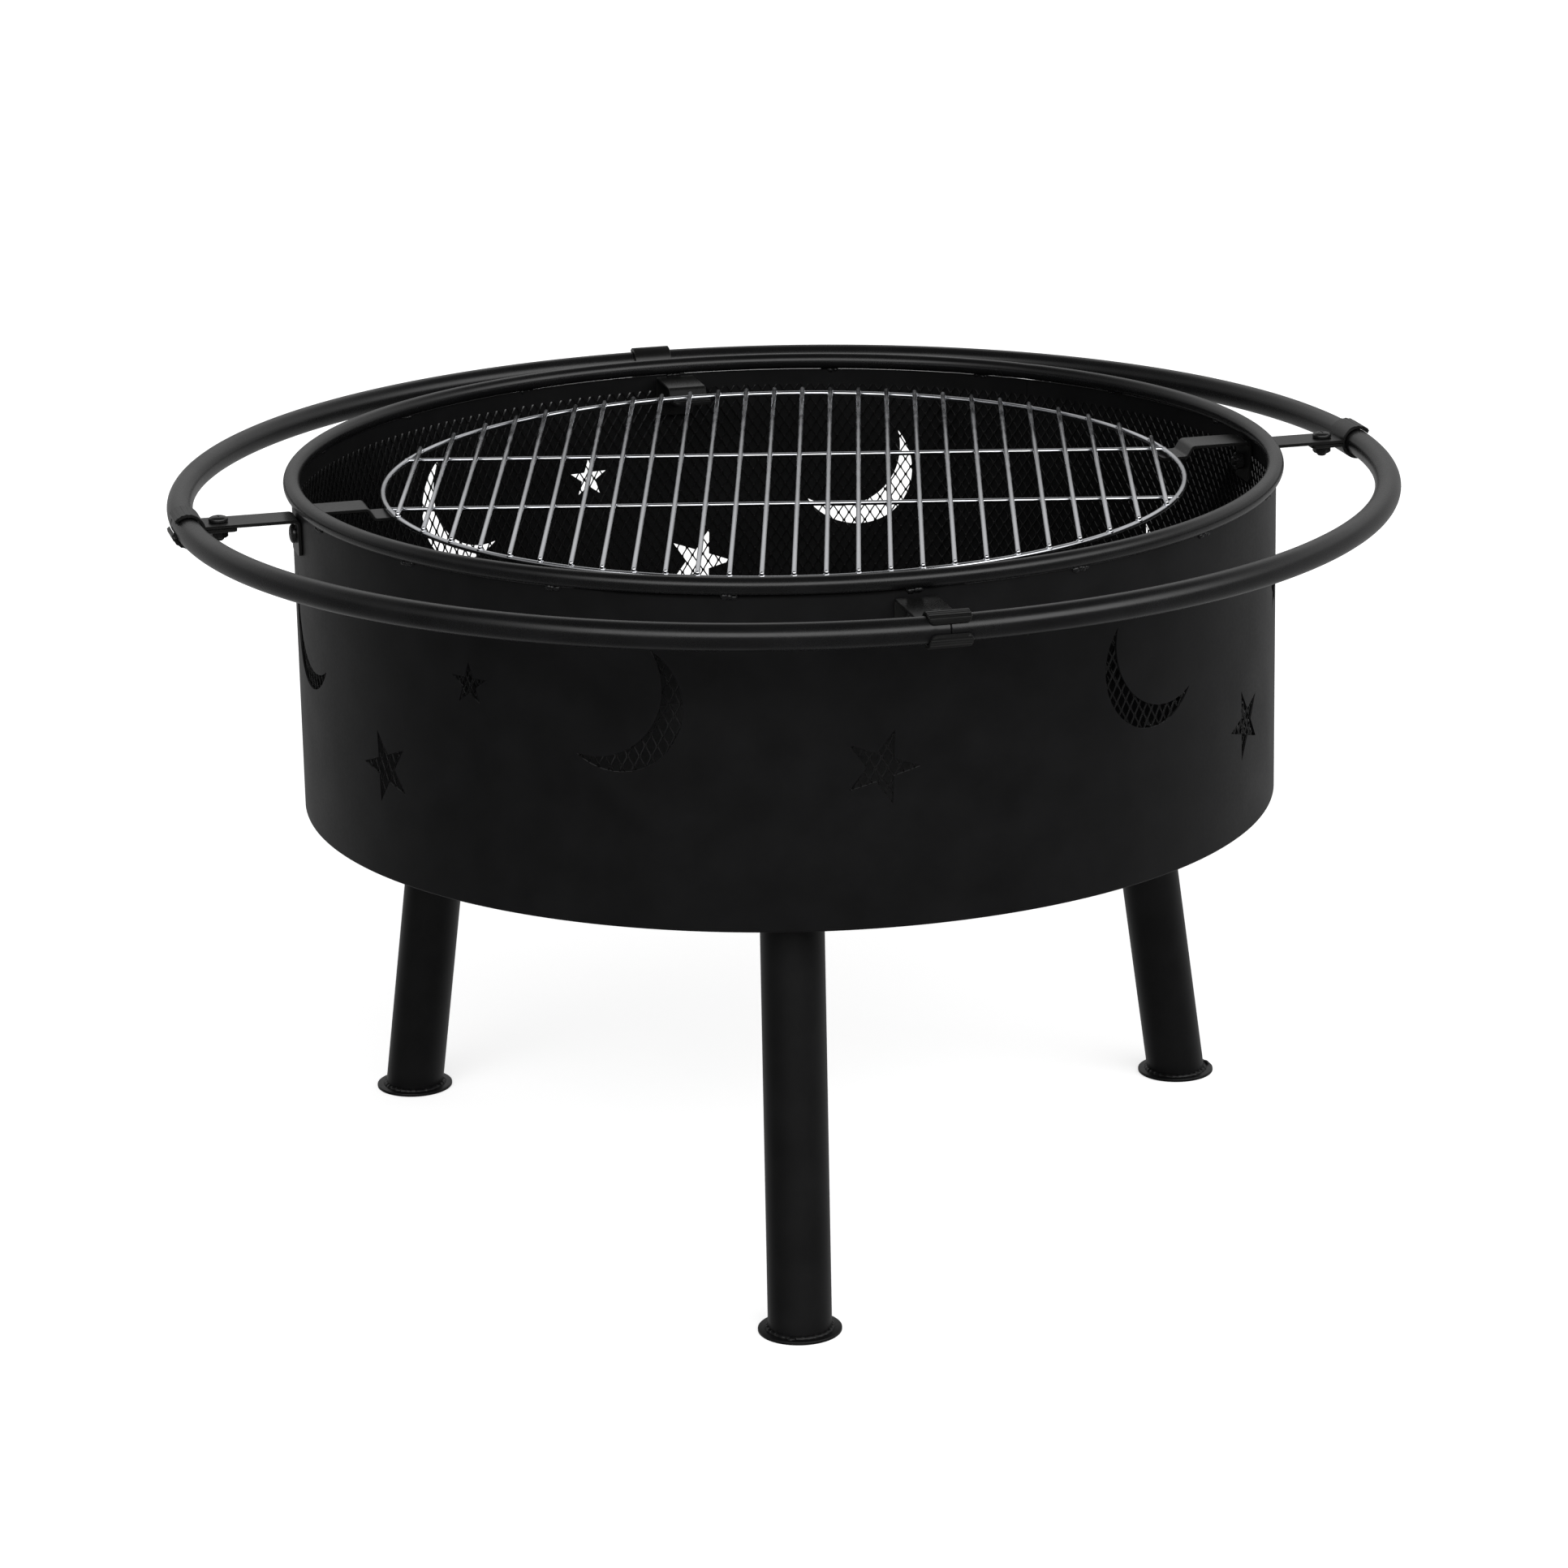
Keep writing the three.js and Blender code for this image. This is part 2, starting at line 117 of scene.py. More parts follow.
BRACKETS = {name: turn_of(f"handrail_arm_{name}") for name in ("right", "back", "left", "front")}
LEGS = {name: turn_of(f"foot_disc_{name}") for name in ("front", "right", "left")}

# Cut-outs of the wall, as in the CAD model. "at" is in degrees from -Y towards +X.
MOTIF_PERIOD = 117
MOTIF_SETS = (-2, -1, 0)
STAR_WAIST = 0.382
MOON_R = 40
MOON_BITE_R = 43.15
MOON_BITE_SHIFT = 19
MOTIFS = (
    {"shape": "moon", "at": 44.9, "z": 384, "turn": 53},
    {"shape": "star", "at": 65.2, "z": 320, "size": 23.3, "turn": 110},
    {"shape": "star", "at": 79.6, "z": 385, "size": 13.7, "turn": 90},
    {"shape": "moon", "at": 98.1, "z": 384, "turn": 144},
    {"shape": "star", "at": 127, "z": 347, "size": 23.3, "turn": 70},
)
SEAM_AT = 147.5                            # where the wall's two ends meet
SEAM_GAP = 0.4
DIP_AT = -2                                # the low stretch of the wall's top edge
DIP_HALF_WIDTH = 21
DIP_RUN_OUT = 7
DIP_DEPTH = 2.1


# ---------------------------------------------------------------- mesh building

class Shape:
    """Points in millimetres and faces, put together from closed shells."""

    def __init__(self):
        self.points = []
        self.faces = []
        self.count = 0

    def add(self, points, faces):
        points = np.asarray(points, float).reshape(-1, 3)
        self.faces.extend([tuple(i + self.count for i in face) for face in faces])
        self.points.append(points)
        self.count += len(points)

    def skin(self, rings, loop=False):
        """Skins a run of rings with equally many points.

        loop joins the last ring to the first, else both ends are capped.
        """
        rings = np.asarray(rings, float)
        runs, sides = rings.shape[:2]
        faces = []
        for i in range(runs if loop else runs - 1):
            here, there = i * sides, (i + 1) % runs * sides
            for j in range(sides):
                k = (j + 1) % sides
                faces.append((here + j, here + k, there + k, there + j))
        if not loop:
            faces.append(tuple(range(sides))[::-1])
            faces.append(tuple(range((runs - 1) * sides, runs * sides)))
        self.add(rings, faces)

    def blob(self, centre, sizes, turn, rng, rough=0.12, sides=10, levels=7):
        """A lump of weld metal: half-sizes outwards, along and up, turned with its place on the drum."""
        rings = []
        for level in range(1, levels):
            tilt = math.pi * level / levels
            ring = []
            for side in range(sides):
                a = 2 * math.pi * side / sides
                swell = 1 + rng.uniform(-rough, rough)
                ring.append((
                    sizes[0] * math.sin(tilt) * math.cos(a) * swell,
                    sizes[1] * math.sin(tilt) * math.sin(a) * swell,
                    sizes[2] * math.cos(tilt) * swell,
                ))
            rings.append(ring)
        self.skin(turned(np.array(rings) + np.array(centre), turn)[::-1])

    def moved(self, matrix):
        """The same faces, with every point carried by a 4x4 matrix in millimetres."""
        other = Shape()
        points = np.vstack(self.points)
        m = np.array(matrix)
        other.add(points @ m[:3, :3].T + m[:3, 3], self.faces)
        return other


def circle(radius, sides):
    angles = [2 * math.pi * i / sides for i in range(sides)]
    return [(radius * math.cos(a), radius * math.sin(a)) for a in angles]


def from_front(radius, at, z):
    """A point at a distance from the axis and an angle in radians from -Y towards +X."""
    return (radius * math.sin(at), -radius * math.cos(at), z)


def arc(radius, centre, start, end, step=7.5):
    """Points on an arc, in degrees, with steps no longer than given."""
    count = max(2, math.ceil(abs(end - start) / step) + 1)
    return [
        (centre[0] + radius * math.cos(math.radians(a)), centre[1] + radius * math.sin(math.radians(a)))
        for a in np.linspace(start, end, count)
    ]


def face_outwards(mesh):
    """Turns a closed mesh's faces to look outwards."""
    work = bmesh.new()
    work.from_mesh(mesh)
    bmesh.ops.recalc_face_normals(work, faces=work.faces)
    work.to_mesh(mesh)
    work.free()


def make_piece(name, shape, material, nodes, body=PIT, sharp=30, skins=None):
    """Turns a shape into a Blender object that stands for CAD nodes.

    skins, where given, is a function that gives the mesh's exact normals. Its faces then stay as they are.
    """
    mesh = bpy.data.meshes.new(name)
    points = np.vstack(shape.points) * MM
    mesh.from_pydata(points.tolist(), [], shape.faces)
    mesh.update()
    if skins is None:
        face_outwards(mesh)
    mesh.shade_smooth()
    mesh.set_sharp_from_angle(angle=math.radians(sharp))
    if skins is not None:
        mesh.normals_split_custom_set(skins(mesh))
    mesh.materials.append(material)
    piece = bpy.data.objects.new(name, mesh)
    bpy.context.scene.collection.objects.link(piece)
    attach(piece, body)
    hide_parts(*nodes)
    return piece


# ---------------------------------------------------------------- materials

def painted(name, colour, roughness, specular, peel=900):
    """Black paint on steel: a slightly uneven colour and gloss, and orange peel of the given fineness."""
    mottle = 35
    peel_depth = 0.02 * MM
    material = bpy.data.materials.new(name)
    material.use_nodes = True
    nodes, links = material.node_tree.nodes, material.node_tree.links
    shader = nodes["Principled BSDF"]
    shader.inputs["Metallic"].default_value = 0.0
    shader.inputs["Specular IOR Level"].default_value = specular
    place = nodes.new("ShaderNodeTexCoord").outputs["Object"]

    def noise(scale, detail):
        texture = nodes.new("ShaderNodeTexNoise")
        texture.inputs["Scale"].default_value = scale
        texture.inputs["Detail"].default_value = detail
        links.new(place, texture.inputs["Vector"])
        return texture.outputs["Fac"]

    def spread(value, low, high):
        ranged = nodes.new("ShaderNodeMapRange")
        ranged.inputs["From Min"].default_value = 0.3
        ranged.inputs["From Max"].default_value = 0.7
        ranged.inputs["To Min"].default_value = low
        ranged.inputs["To Max"].default_value = high
        links.new(value, ranged.inputs["Value"])
        return ranged.outputs["Result"]

    shade = nodes.new("ShaderNodeMix")
    shade.data_type = "RGBA"
    shade.inputs["A"].default_value = (*[c * 0.8 for c in colour], 1)
    shade.inputs["B"].default_value = (*[c * 1.2 for c in colour], 1)
    links.new(spread(noise(mottle, 4), 0, 1), shade.inputs["Factor"])
    links.new(shade.outputs["Result"], shader.inputs["Base Color"])

    gloss = nodes.new("ShaderNodeMath")
    gloss.operation = "ADD"
    links.new(spread(noise(mottle * 0.6, 5), roughness - 0.03, roughness + 0.03), gloss.inputs[0])
    links.new(spread(noise(peel * 0.5, 2), -0.02, 0.02), gloss.inputs[1])
    links.new(gloss.outputs["Value"], shader.inputs["Roughness"])

    bump = nodes.new("ShaderNodeBump")
    bump.inputs["Distance"].default_value = peel_depth
    bump.inputs["Strength"].default_value = 0.6
    links.new(noise(peel, 3), bump.inputs["Height"])
    links.new(bump.outputs["Normal"], shader.inputs["Normal"])
    return material


def plated(name, colour, roughness):
    """Bright plated wire: metal with faint drawing marks and cloudy patches in its gloss."""
    material = bpy.data.materials.new(name)
    material.use_nodes = True
    nodes, links = material.node_tree.nodes, material.node_tree.links
    shader = nodes["Principled BSDF"]
    shader.inputs["Metallic"].default_value = 1.0
    place = nodes.new("ShaderNodeTexCoord").outputs["Object"]
    cloud = nodes.new("ShaderNodeTexNoise")
    cloud.inputs["Scale"].default_value = 60
    cloud.inputs["Detail"].default_value = 5
    links.new(place, cloud.inputs["Vector"])
    ranged = nodes.new("ShaderNodeMapRange")
    ranged.inputs["From Min"].default_value = 0.35
    ranged.inputs["From Max"].default_value = 0.65
    ranged.inputs["To Min"].default_value = roughness - 0.05
    ranged.inputs["To Max"].default_value = roughness + 0.06
    links.new(cloud.outputs["Fac"], ranged.inputs["Value"])
    links.new(ranged.outputs["Result"], shader.inputs["Roughness"])
    tint = nodes.new("ShaderNodeMix")
    tint.data_type = "RGBA"
    tint.inputs["A"].default_value = (*[c * 0.92 for c in colour], 1)
    tint.inputs["B"].default_value = (*colour, 1)
    links.new(cloud.outputs["Fac"], tint.inputs["Factor"])
    links.new(tint.outputs["Result"], shader.inputs["Base Color"])
    grain = nodes.new("ShaderNodeTexNoise")
    grain.inputs["Scale"].default_value = 1500
    links.new(place, grain.inputs["Vector"])
    bump = nodes.new("ShaderNodeBump")
    bump.inputs["Distance"].default_value = 0.00001
    bump.inputs["Strength"].default_value = 0.4
    links.new(grain.outputs["Fac"], bump.inputs["Height"])
    links.new(bump.outputs["Normal"], shader.inputs["Normal"])
    return material


drum_paint = painted("drum_paint", (0.0052, 0.0052, 0.0055), 0.42, 0.2)
rail_paint = painted("rail_paint", (0.0065, 0.0065, 0.0068), 0.27, 0.42)
bracket_paint = painted("bracket_paint", (0.008, 0.008, 0.0078), 0.30, 0.35)
mesh_paint = painted("mesh_paint", (0.007, 0.007, 0.007), 0.19, 0.85)
leg_paint = painted("leg_paint", (0.0055, 0.0055, 0.0057), 0.36, 0.23)
hardware = painted("hardware", (0.010, 0.010, 0.010), 0.28, 0.5, peel=1500)
chrome = plated("chrome_wire", (0.73, 0.74, 0.77), 0.2)


# ---------------------------------------------------------------- drum wall

def star_outline(size, turn):
    points = []
    for i in range(10):
        out = size * STAR_WAIST if i % 2 else size
        angle = math.radians(turn + 36 * i)
        points.append((out * math.cos(angle), out * math.sin(angle)))
    return points


def moon_outline(turn):
    along = (MOON_R ** 2 - MOON_BITE_R ** 2 + MOON_BITE_SHIFT ** 2) / (2 * MOON_BITE_SHIFT)
    half_chord = math.sqrt(MOON_R ** 2 - along ** 2)
    tip = math.degrees(math.atan2(half_chord, along))
    bite_tip = math.degrees(math.atan2(half_chord, along - MOON_BITE_SHIFT))
    outer = arc(MOON_R, (0, 0), tip, 360 - tip, 4)
    bite = arc(MOON_BITE_R, (MOON_BITE_SHIFT, 0), 360 - bite_tip, bite_tip, 4)
    c, s = math.cos(math.radians(turn)), math.sin(math.radians(turn))
    return [(c * x - s * y, s * x + c * y) for x, y in outer + bite[1:-1]]


def motif_outlines():
    """Every cut-out as a loop of (along the wall from the seam, z) points."""
    loops = []
    for shift in MOTIF_SETS:
        for motif in MOTIFS:
            if motif["shape"] == "moon":
                outline = moon_outline(motif["turn"])
            else:
                outline = star_outline(motif["size"], motif["turn"])
            at = math.radians((motif["at"] + MOTIF_PERIOD * shift - SEAM_AT) % 360)
            loops.append([(WALL_R * (at + math.asin(x / WALL_R)), motif["z"] + y) for x, y in outline])
    return loops


def inside(points, loop):
    """Which of the points lie inside a loop."""
    x, y = points[:, 0], points[:, 1]
    result = np.zeros(len(points), bool)
    for (ax, ay), (bx, by) in zip(loop, loop[1:] + loop[:1]):
        crosses = (ay > y) != (by > y)
        if crosses.any():
            at = (bx - ax) * (y - ay) / (by - ay if by != ay else 1) + ax
            result ^= crosses & (x < at)
    return result


def edge_dip(at):
    """How far the wall's top edge falls short of the rim rod: it is sheared a little low at the front."""
    away = abs((at - DIP_AT + 180) % 360 - 180)
    share = min(1, max(0, (DIP_HALF_WIDTH - away) / DIP_RUN_OUT))
    return DIP_DEPTH * share * share * (3 - 2 * share)


def wall_sheet():
    """The rolled and cut sheet with its hem and seam, and the function that gives its normals."""
    columns = 288
    hem_r = 1.3                            # outer radius of the bend at the bottom
    low, high = WALL_BOTTOM + hem_r, WALL_TOP
    length = 2 * math.pi * WALL_R - SEAM_GAP
    points, edges = [], []
    for i, u in enumerate(np.linspace(0, length, columns + 1)):
        points += [(u, low), (u, high - edge_dip(SEAM_AT + math.degrees(u / WALL_R)))]
        edges.append((2 * i, 2 * i + 1))
        if i:
            edges += [(2 * i - 2, 2 * i), (2 * i - 1, 2 * i + 1)]
    loops = motif_outlines()
    for loop in loops:
        first = len(points)
        points += loop
        edges += [(first + i, first + (i + 1) % len(loop)) for i in range(len(loop))]
    flat, _, triangles, *_ = delaunay_2d_cdt([Vector(p) for p in points], edges, [], 0, 1e-5)
    flat = np.array([tuple(p) for p in flat])
    triangles = np.array(triangles)
    middles = flat[triangles].mean(1)
    keep = np.ones(len(triangles), bool)
    for loop in loops:
        keep &= ~inside(middles, loop)
    triangles = triangles[keep]

    def bent(radius):
        at = np.radians(SEAM_AT) + flat[:, 0] / WALL_R
        return np.stack([radius * np.sin(at), -radius * np.cos(at), flat[:, 1]], -1)

    total = len(flat)
    verts = np.vstack([bent(WALL_R), bent(WALL_R - SHEET)])
    faces = [tuple(t) for t in triangles]
    faces += [(a + total, c + total, b + total) for a, b, c in triangles]
    used = {edge: True for a, b, c in triangles for edge in ((a, b), (b, c), (c, a))}
    for a, b in used:
        hem_edge = flat[a][1] < low + 0.01 and flat[b][1] < low + 0.01
        if (b, a) not in used and not hem_edge:
            faces.append((b, a, a + total, b + total))

    # The hem: down round the bend, in to the lip's edge, and back along the inside.
    inner_r = hem_r - SHEET
    profile = [(WALL_R - hem_r + x, low + z) for x, z in arc(hem_r, (0, 0), 0, -90, 12)[1:]]
    profile += [(LIP_R, WALL_BOTTOM), (LIP_R, WALL_BOTTOM + SHEET)]
    profile += [(WALL_R - hem_r + x, low + z) for x, z in arc(inner_r, (0, 0), -90, 0, 12)[:-1]]
    bottom = [i for i in range(total) if flat[i][1] < low + 0.01]
    bottom.sort(key=lambda i: flat[i][0])
    hem = []
    hem_lines = []                         # of point numbers, from the outer skin round to the inner one
    for i in bottom:
        at = math.radians(SEAM_AT) + flat[i][0] / WALL_R
        first = 2 * total + len(hem)
        hem += [from_front(r, at, z) for r, z in profile]
        hem_lines.append([i, *range(first, first + len(profile)), i + total])
    for left, right in zip(hem_lines, hem_lines[1:]):
        for k in range(len(left) - 1):
            faces.append((left[k], left[k + 1], right[k + 1], right[k]))
    faces.append(tuple(hem_lines[0][::-1]))
    faces.append(tuple(hem_lines[-1]))

    shape = Shape()
    shape.add(np.vstack([verts, np.array(hem)]), faces)
    skin_faces = 2 * len(triangles)

    def skins(mesh):
        """Exactly round normals on the wall's two skins: reflections run smooth past the cut-outs."""
        normals = [(0, 0, 0)] * len(mesh.loops)
        for polygon in mesh.polygons[:skin_faces]:
            side = 1 if polygon.index < skin_faces // 2 else -1
            for corner in polygon.loop_indices:
                x, y, _ = mesh.vertices[mesh.loops[corner].vertex_index].co
                away = math.hypot(x, y)
                normals[corner] = (side * x / away, side * y / away, 0)
        return normals

    add_wall_seam(shape)
    return shape, skins


def add_wall_seam(shape):
    """The lap over the wall's seam: a strip that thins out on one side, held by spot welds."""
    lap = 16
    thickness = 0.85
    low, high = WALL_BOTTOM + 3, WALL_TOP - 0.5
    ring_steps = 6
    rings = []
    for z in (low, high):
        outer = [
            (WALL_R + 0.05 + thickness * min(1, 2.5 * i / ring_steps), lap * (i / ring_steps - 0.5) / WALL_R)
            for i in range(ring_steps + 1)
        ]
        inner = [(WALL_R - 0.3, a) for _, a in reversed(outer)]
        rings.append([from_front(r, math.radians(SEAM_AT) + a, z) for r, a in outer + inner])
    shape.skin(rings)
    rng = random.Random(7)
    welds = 7
    for i in range(welds):
        z = low + (high - low) * (i + 0.5) / welds
        shape.blob((WALL_R + 0.75, 0, z), (0.35, 2.6, 2.6), SEAM_AT - 90, rng, 0.05, 16, 7)


wall_shape, wall_skins = wall_sheet()
make_piece("drum_wall_sheet", wall_shape, drum_paint, ["drum_wall"], skins=wall_skins)


# ---------------------------------------------------------------- drum floor

def floor_shape():
    """A flat round plate with a shallow pressed ring that stiffens it, and a softened edge."""
    t = FLOOR_THICKNESS
    press_r, press_half, press_steps = 190, 10, 12
    press_height = box("drum_floor")[1][2] - FLOOR_BOTTOM - FLOOR_THICKNESS

    def face_line(lift):
        line = [(0.5, FLOOR_BOTTOM + lift)]
        for i in range(press_steps + 1):
            share = i / press_steps
            rise = press_height * math.sin(math.pi * share) ** 2
            line.append((press_r - press_half + 2 * press_half * share, FLOOR_BOTTOM + lift + rise))
        line.append((FLOOR_R - 1.2, FLOOR_BOTTOM + lift))
        return line

    shape = Shape()
    upper = face_line(t) + [(FLOOR_R, FLOOR_BOTTOM + t + 0.4)]
    lower = [(FLOOR_R, FLOOR_BOTTOM + 0.3)] + face_line(0)[::-1]
    angles = np.radians(np.linspace(0, 360, 180, endpoint=False))
    shape.skin([[(r * math.cos(a), r * math.sin(a), z) for a in angles] for r, z in upper + lower])
    return shape


make_piece("drum_floor_plate", floor_shape(), drum_paint, ["drum_floor"])


# ---------------------------------------------------------------- expanded mesh liner

LINER_SEAM_AT = 156
CELL_WIDTH = 7.18                          # of one diamond, along the wall
HALF_CELL = 5.8                            # mean half height of a diamond
HALF_CELL_SWING = 0.85
TALLEST_AT = -65                           # where the diamonds are stretched most
STRAND_WIDTH = 1.0                         # measured level
STRAND_DEPTH = 0.5
STRAND_TWIST = 30                          # degrees; the strands stand a little on edge
BOND = 1.5                                 # height of the joint between two strands
TOP_CUT = 0.3                              # of a half cell, where the top edge cuts the first diamonds
LAP_RIBBONS = 4                            # strands that overlap at the seam
LAP_DEPTH = 0.9


def half_cell(at):
    """Half a diamond's height: the mesh is stretched a little unevenly round the drum."""
    return HALF_CELL + HALF_CELL_SWING * math.cos(math.radians(at - TALLEST_AT))


def liner_ribbon(index, radius):
    """One zigzag strand, from the liner's top edge to its bottom, as rings of four points."""
    width_angle = math.degrees(CELL_WIDTH / 2 / radius)
    half_strand = math.degrees(STRAND_WIDTH / 2 / radius)
    left = LINER_SEAM_AT + index * width_angle
    h = half_cell(left)
    path = []
    levels = math.ceil((LINER_TOP - LINER_BOTTOM) / h) + 1
    for level in range(levels + 1):
        at = left + half_strand if (index + level) % 2 == 0 else left + width_angle - half_strand
        z = LINER_TOP - level * h + TOP_CUT * h
        path += [(at, z + BOND / 2), (at, z - BOND / 2)]
    clipped = []
    for (a, za), (b, zb) in zip(path, path[1:]):
        for limit in (LINER_TOP, LINER_BOTTOM):
            if za > limit > zb:
                clipped.append((a + (b - a) * (za - limit) / (za - zb), limit))
        if LINER_BOTTOM < zb < LINER_TOP:
            clipped.append((b, zb))
    c, s = math.cos(math.radians(STRAND_TWIST)), math.sin(math.radians(STRAND_TWIST))
    section = []
    for across, out in ((-1, -1), (1, -1), (1, 1), (-1, 1)):
        x, y = across * STRAND_WIDTH / 2, out * STRAND_DEPTH / 2
        section.append((x * c - y * s, x * s + y * c))
    return [
        [from_front(radius + out, math.radians(at) + along / radius, z) for along, out in section]
        for at, z in clipped
    ]


ribbons_round = round(2 * math.pi * LINER_R / CELL_WIDTH) * 2
half_way = ribbons_round // 2
for number, first, last in ((1, 0, half_way), (2, half_way, ribbons_round + LAP_RIBBONS)):
    liner = Shape()
    for index in range(first, last):
        lapped = index >= ribbons_round
        liner.skin(liner_ribbon(index, LINER_R - LAP_DEPTH if lapped else LINER_R))
    make_piece(f"mesh_liner_strands_{number}", liner, mesh_paint, ["mesh_liner"], sharp=25)


# ---------------------------------------------------------------- rim rod

BEAD_WELDS = 18
BEAD_JOINT_DENT = 0.035                    # of the rod's radius, where its two ends are welded together
BEAD_JOINT_WIDTH = 0.7                     # degrees


def rim_shape():
    """The rolled rod on the wall's top edge, with a small dent at its joint and rows of spot welds."""
    shape = Shape()
    steps, sides = 360, 28
    section = circle(BEAD_WIRE_R, sides)
    rings = []
    for i in range(steps):
        angle = 360 * i / steps
        from_joint = abs((angle + 90 - SEAM_AT + 180) % 360 - 180)
        swell = 1 - BEAD_JOINT_DENT * math.exp(-(from_joint / BEAD_JOINT_WIDTH) ** 2)
        rings.append(turned([(BEAD_R + x * swell, 0, BEAD_Z + z * swell) for x, z in section], angle))
    shape.skin(rings, loop=True)
    rng = random.Random(3)
    start = BRACKETS["right"]
    for i in range(BEAD_WELDS):
        turn = start + (i + 0.5) * 360 / BEAD_WELDS
        for k in range(4):
            along = (k - 1.5) * 2.2 + rng.uniform(-0.8, 0.8)
            sizes = (rng.uniform(1.3, 2.0), rng.uniform(1.8, 2.6), rng.uniform(1.4, 2.1))
            centre = (WALL_R + rng.uniform(-0.4, 0.5), along, WALL_TOP - 0.6 + rng.uniform(-0.5, 0.4))
            shape.blob(centre, sizes, turn, rng)
    return shape


make_piece("rim_rod", rim_shape(), rail_paint, ["rim_bead"], sharp=50)


# ---------------------------------------------------------------- handrail tubes

RAIL_END_GAP = 0.15
RAIL_DRAWN_LENGTH = 9                      # of the end that is drawn down
RAIL_DRAWN = 0.975                         # its share of the tube's radius
RAIL_SOFT_EDGE = 0.4


def rail_shape(start, end):
    """A quarter of the handrail. Its far end is drawn down slightly where it meets the next tube."""
    shape = Shape()
    sides, steps = 36, 96
    cut, drawn, edge = (
        math.degrees(length / RAIL_R) for length in (RAIL_END_GAP, RAIL_DRAWN_LENGTH, RAIL_SOFT_EDGE)
    )
    angles = list(np.linspace(start + cut, end - cut, steps))
    angles = sorted(angles + [end - cut - drawn, end - cut - drawn * 0.96])
    stations = [(angles[0], 0.96), (angles[0] + edge, 1)]
    stations += [(a, RAIL_DRAWN if a > end - cut - drawn * 0.98 else 1) for a in angles[1:-1]]
    stations += [(angles[-1] - edge, RAIL_DRAWN), (angles[-1], 0.93)]
    rings = []
    for a, scale in stations:
        ring = [(RAIL_R + x * scale, 0, RAIL_Z + z * scale) for x, z in circle(RAIL_TUBE_R, sides)]
        rings.append(turned(ring, a))
    shape.skin(rings)
    return shape


names = list(BRACKETS)
for i, name in enumerate(names):
    following = names[(i + 1) % len(names)]
    start = BRACKETS[name]
    node = f"handrail_{name}_{following}"
    make_piece(f"{node}_tube", rail_shape(start, start + 90), rail_paint, [node])


# ---------------------------------------------------------------- bent strip

STRIP = 2                                  # thickness of bracket, clamp and support strip
STRIP_WIDTH = 25
LEAST_BEND = 25                            # degrees; a smaller turn stays a corner


def bent_path(path, bend):
    """A polyline of (out, up) points with its corners rounded to the given radius, where there is room."""
    result = [path[0]]
    for before, here, after in zip(path, path[1:], path[2:]):
        a, b = Vector(before) - Vector(here), Vector(after) - Vector(here)
        corner = a.angle(b)
        turn = math.pi - corner
        set_back = bend * math.tan(turn / 2)
        if turn < math.radians(LEAST_BEND) or set_back > 0.49 * min(a.length, b.length):
            result.append(here)
            continue
        steps = math.ceil(math.degrees(turn) / 10)
        a, b = a.normalized(), b.normalized()
        start, end = Vector(here) + a * set_back, Vector(here) + b * set_back
        centre = Vector(here) + (a + b).normalized() * (bend / math.sin(corner / 2))
        for i in range(steps + 1):
            away = (start - centre).slerp(end - centre, i / steps)
            result.append(tuple(centre + away.normalized() * bend))
    result.append(path[-1])
    return result


def with_stations(line, distances):
    """The same polyline with extra points at the given distances along it."""
    result = [line[0]]
    gone = 0
    for a, b in zip(line, line[1:]):
        length = (b - a).length
        for distance in sorted(distances):
            if gone + 0.01 < distance < gone + length - 0.01:
                result.append(a.lerp(b, (distance - gone) / length))
        result.append(b)
        gone += length
    return result


def strip_shape(path, width, thickness=STRIP, bend=3, corner=3, edge=0.35):
    """Bent flat strip along a path of (out, up) points: rounded end corners and softened edges."""
    line = [Vector(p) for p in bent_path(path, bend)]
    total = sum((b - a).length for a, b in zip(line, line[1:]))
    ends = [corner * (1 - math.cos(math.pi / 2 * i / 4)) for i in range(1, 5)]
    line = with_stations(line, ends + [total - d for d in ends])
    lengths = [0]
    for a, b in zip(line, line[1:]):
        lengths.append(lengths[-1] + (b - a).length)
    rings = []
    for i, point in enumerate(line):
        before = (point - line[max(i - 1, 0)]).normalized() if i else None
        after = (line[i + 1] - point).normalized() if i + 1 < len(line) else None
        before, after = before or after, after or before
        normal = Vector((-before.y - after.y, before.x + after.x)).normalized()
        miter = 1 / max(0.3, normal.dot(Vector((-before.y, before.x))))
        from_end = min(lengths[i], lengths[-1] - lengths[i], corner)
        half = width / 2 - corner + math.sqrt(max(0, corner ** 2 - (corner - from_end) ** 2))
        t = thickness / 2
        section = [
            (half, -t + edge), (half, t - edge), (half - edge, t), (-half + edge, t),
            (-half, t - edge), (-half, -t + edge), (-half + edge, -t), (half - edge, -t),
        ]
        rings.append([
            (point.x + normal.x * up * miter, side, point.y + normal.y * up * miter)
            for side, up in section
        ])
    shape = Shape()
    shape.skin(rings)
    return shape


def turned_shape(shape, degrees):
    return shape.moved(Matrix.Rotation(math.radians(degrees), 4, "Z"))


# ---------------------------------------------------------------- fasteners

BOLT_R = 3
HEAD_HEIGHT = 3.2
THREAD_PITCH = 1
THREAD_LENGTH = 9
NUT_R = 5.77                               # to its corners
NUT_HEIGHT = 5


